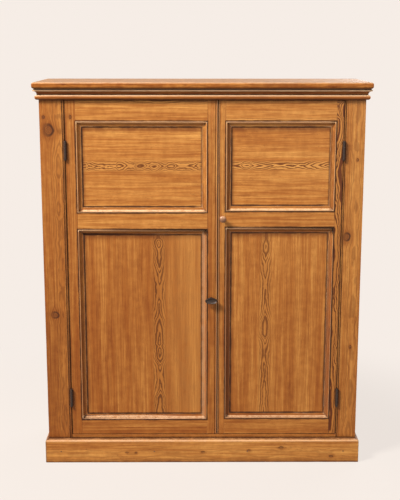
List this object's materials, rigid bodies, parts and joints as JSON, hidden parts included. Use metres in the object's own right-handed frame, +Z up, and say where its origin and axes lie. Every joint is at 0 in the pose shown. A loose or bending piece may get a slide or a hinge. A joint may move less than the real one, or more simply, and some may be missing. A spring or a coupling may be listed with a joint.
{
  "type": "jelly cupboard",
  "caption": "Pine jelly cupboard: face-framed case with shelves behind two panelled doors, which swing on butt hinges and fasten with a turn and an inside bolt.",
  "frame": {"origin": "on the floor, under the middle of the cupboard's overall width and depth", "axes": "+Z up, -Y out of the doors towards a person who faces the cupboard, +X to that person's right"},
  "size_m": [1.129, 0.356, 1.334],
  "materials": {
    "waxed_pine": "old waxed pine, satin",
    "panel_pine": "old waxed pine, satin",
    "inner_pine": "bare aged pine, matt",
    "back_pine": "bare aged pine, matt",
    "turned_wood": "worn turned knob, satin",
    "wrought_iron": "dark iron, worn",
    "hinge_iron": "dark iron, browned"
  },
  "bodies": {
    "carcass": {"back_board_1": "back_pine", "back_board_2": "back_pine", "back_board_3": "back_pine", "back_board_4": "back_pine", "back_board_5": "back_pine", "back_board_6": "back_pine", "bolt_keeper": "wrought_iron", "bottom_board": "inner_pine", "cornice_front": "waxed_pine", "cornice_left": "waxed_pine", "cornice_right": "waxed_pine", "door_stop": "inner_pine", "face_rail_bottom": "waxed_pine", "face_rail_top": "waxed_pine", "face_stile_left": "waxed_pine", "face_stile_right": "waxed_pine", "glue_blocks": "inner_pine", "hinge_pins": "hinge_iron", "left_frame_leaves": "hinge_iron", "plinth_front": "waxed_pine", "plinth_left": "waxed_pine", "plinth_right": "waxed_pine", "right_frame_leaves": "hinge_iron", "shelf_1": "inner_pine", "shelf_2": "inner_pine", "shelf_3": "inner_pine", "shelf_cleats": "inner_pine", "side_left": "waxed_pine", "side_right": "waxed_pine", "top_board": "waxed_pine"},
    "left_door": {"left_bottom_rail": "waxed_pine", "left_door_leaves": "hinge_iron", "left_hinge_stile": "waxed_pine", "left_lower_moulding": "waxed_pine", "left_lower_panel": "panel_pine", "left_meeting_stile": "waxed_pine", "left_mid_rail": "waxed_pine", "left_top_rail": "waxed_pine", "left_upper_moulding": "waxed_pine", "left_upper_panel": "panel_pine", "turn_rose": "wrought_iron"},
    "turn": {"turn_handle": "wrought_iron", "turn_spindle": "wrought_iron", "turn_tongue": "wrought_iron"},
    "right_door": {"bolt_case": "wrought_iron", "door_knob": "turned_wood", "right_bottom_rail": "waxed_pine", "right_door_leaves": "hinge_iron", "right_hinge_stile": "waxed_pine", "right_lower_moulding": "waxed_pine", "right_lower_panel": "panel_pine", "right_meeting_stile": "waxed_pine", "right_mid_rail": "waxed_pine", "right_top_rail": "waxed_pine", "right_upper_moulding": "waxed_pine", "right_upper_panel": "panel_pine"},
    "bolt": {"bolt_rod": "wrought_iron"}
  },
  "joints": [
    {"name": "left_door_hinge", "type": "hinge", "parent": "carcass", "child": "left_door", "pos_m": [-0.4611, -0.1568, 0.671], "axis": [0, 0, -1], "range_deg": [0, 170]},
    {"name": "right_door_hinge", "type": "hinge", "parent": "carcass", "child": "right_door", "pos_m": [0.4746, -0.1568, 0.671], "axis": [0, 0, 1], "range_deg": [0, 170]},
    {"name": "turn_spin", "type": "hinge", "parent": "left_door", "child": "turn", "pos_m": [0.0304, -0.152, 0.5895], "axis": [0, -1, 0], "range_deg": [0, 90]},
    {"name": "bolt_slide", "type": "slide", "parent": "right_door", "child": "bolt", "axis": [0, 0, 1], "range_m": [0, 0.016]}
  ]
}
